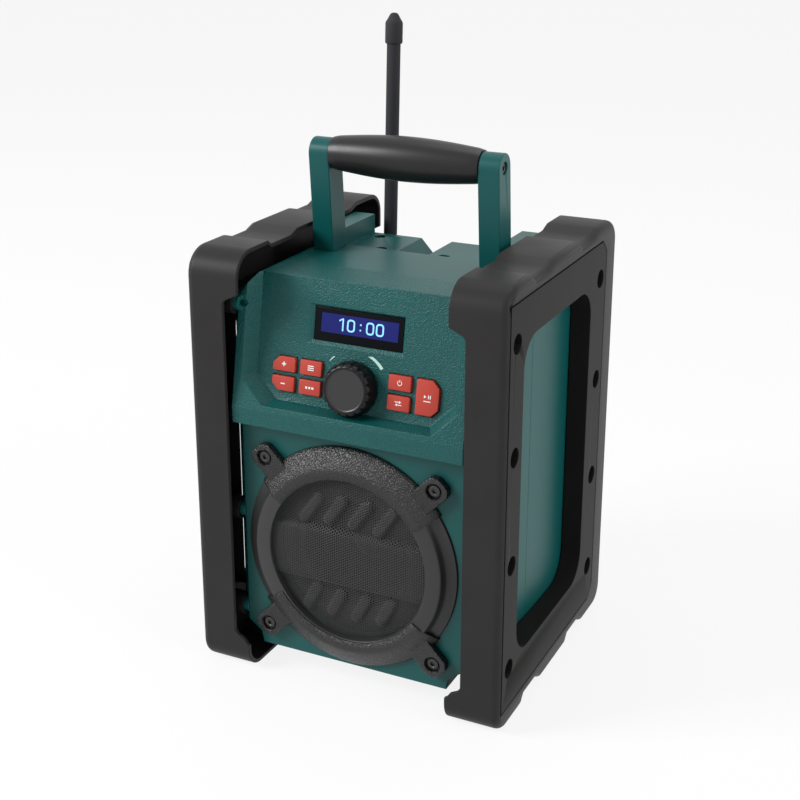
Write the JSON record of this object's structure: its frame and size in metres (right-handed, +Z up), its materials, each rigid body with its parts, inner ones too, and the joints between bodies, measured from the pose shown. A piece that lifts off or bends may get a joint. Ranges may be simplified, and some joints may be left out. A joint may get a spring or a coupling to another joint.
{
  "type": "jobsite radio",
  "caption": "Jobsite radio: green body with a tilted control panel and a round speaker, held between two black side bumpers, with a carry handle and a folding rubber antenna.",
  "frame": {"origin": "on the ground, under the middle of the bumpers", "axes": "+Z up, -Y out of the front, +X to the right seen from the front"},
  "size_m": [0.22, 0.202, 0.4269],
  "materials": {
    "green_plastic": "fine grain",
    "black_moulding": "satin soft moulding",
    "plate_plastic": "satin",
    "black_plastic": "textured",
    "antenna_rubber": "smooth matt",
    "screw_steel": "blackened",
    "steel": "zinc plated",
    "grille_steel": "black powder coat",
    "rubber_black": "foam and rubber",
    "speaker_paper": "pressed paper",
    "red_plastic": "satin",
    "screen_plastic": "clear dark",
    "display_blue": "backlit",
    "circuit_board": "solder mask",
    "silicone": "moulded silicone",
    "cell_wrap": "printed wrap, bare"
  },
  "bodies": {
    "radio_body": {"front_shell": "green_plastic", "rear_shell": "green_plastic", "shell_screws": "screw_steel", "left_bumper": "black_moulding", "right_bumper": "black_moulding", "left_side_plate": "plate_plastic", "right_side_plate": "plate_plastic", "left_plate_screws": "screw_steel", "right_plate_screws": "screw_steel", "left_handle_post": "green_plastic", "right_handle_post": "green_plastic", "handle_grip": "black_moulding", "handle_rod": "steel", "handle_screws": "screw_steel", "handle_bracket": "steel", "handle_post_screws": "screw_steel", "block_screws": "screw_steel", "speaker_ring": "black_plastic", "speaker_ring_screws": "screw_steel", "speaker_grille": "grille_steel", "speaker_gasket": "rubber_black", "speaker_basket": "grille_steel", "speaker_surround": "rubber_black", "speaker_cone": "speaker_paper", "speaker_dust_cap": "speaker_paper", "speaker_magnet": "steel", "speaker_screws": "screw_steel", "display_window": "screen_plastic", "display_module": "display_blue", "control_board": "circuit_board", "control_board_screws": "screw_steel", "keypad_mat": "silicone", "encoder": "steel", "encoder_nut": "steel", "main_board": "circuit_board", "main_board_screws": "screw_steel", "power_inlet": "black_plastic", "audio_jack": "black_plastic", "antenna_base": "black_plastic", "antenna_pin": "screw_steel", "battery_tray": "black_plastic", "battery_cells": "cell_wrap", "battery_contacts": "steel", "battery_door_pin": "screw_steel"},
    "tune_up_button": {"tune_up_button": "red_plastic"},
    "tune_down_button": {"tune_down_button": "red_plastic"},
    "menu_button": {"menu_button": "red_plastic"},
    "preset_button": {"preset_button": "red_plastic"},
    "power_button": {"power_button": "red_plastic"},
    "source_button": {"source_button": "red_plastic"},
    "enter_button": {"enter_button": "red_plastic"},
    "volume_knob": {"volume_knob": "black_plastic", "encoder_shaft": "steel"},
    "antenna": {"antenna_rod": "antenna_rubber", "antenna_cap": "antenna_rubber"},
    "battery_door": {"battery_door": "green_plastic"},
    "battery_door_screw": {"battery_door_screw": "screw_steel"}
  },
  "joints": [
    {"name": "tune_up_press", "type": "slide", "parent": "radio_body", "child": "tune_up_button", "axis": [0, 0.9833, -0.1822], "range_m": [0, 0.001], "stiffness_N_per_m": 400, "springref_m": -0.0008},
    {"name": "tune_down_press", "type": "slide", "parent": "radio_body", "child": "tune_down_button", "axis": [0, 0.9833, -0.1822], "range_m": [0, 0.001], "stiffness_N_per_m": 400, "springref_m": -0.0008},
    {"name": "menu_press", "type": "slide", "parent": "radio_body", "child": "menu_button", "axis": [0, 0.9833, -0.1822], "range_m": [0, 0.001], "stiffness_N_per_m": 400, "springref_m": -0.0008},
    {"name": "preset_press", "type": "slide", "parent": "radio_body", "child": "preset_button", "axis": [0, 0.9833, -0.1822], "range_m": [0, 0.001], "stiffness_N_per_m": 400, "springref_m": -0.0008},
    {"name": "power_press", "type": "slide", "parent": "radio_body", "child": "power_button", "axis": [0, 0.9833, -0.1822], "range_m": [0, 0.001], "stiffness_N_per_m": 400, "springref_m": -0.0008},
    {"name": "source_press", "type": "slide", "parent": "radio_body", "child": "source_button", "axis": [0, 0.9833, -0.1822], "range_m": [0, 0.001], "stiffness_N_per_m": 400, "springref_m": -0.0008},
    {"name": "enter_press", "type": "slide", "parent": "radio_body", "child": "enter_button", "axis": [0, 0.9833, -0.1822], "range_m": [0, 0.001], "stiffness_N_per_m": 400, "springref_m": -0.0008},
    {"name": "volume_turn", "type": "hinge", "parent": "radio_body", "child": "volume_knob", "pos_m": [0, -0.083, 0.212], "axis": [0, -0.9833, 0.1822], "continuous": true},
    {"name": "antenna_fold", "type": "hinge", "parent": "radio_body", "child": "antenna", "pos_m": [-0.049, 0.069, 0.26], "axis": [-1, 0, 0], "range_deg": [-2, 86]},
    {"name": "battery_door_swing", "type": "hinge", "parent": "radio_body", "child": "battery_door", "pos_m": [0, 0.0876, 0.039], "axis": [-1, 0, 0], "range_deg": [0, 95]},
    {"name": "battery_door_screw_turn", "type": "hinge", "parent": "battery_door", "child": "battery_door_screw", "pos_m": [0, 0.085, 0.134], "axis": [0, 1, 0], "range_deg": [0, 720]}
  ]
}
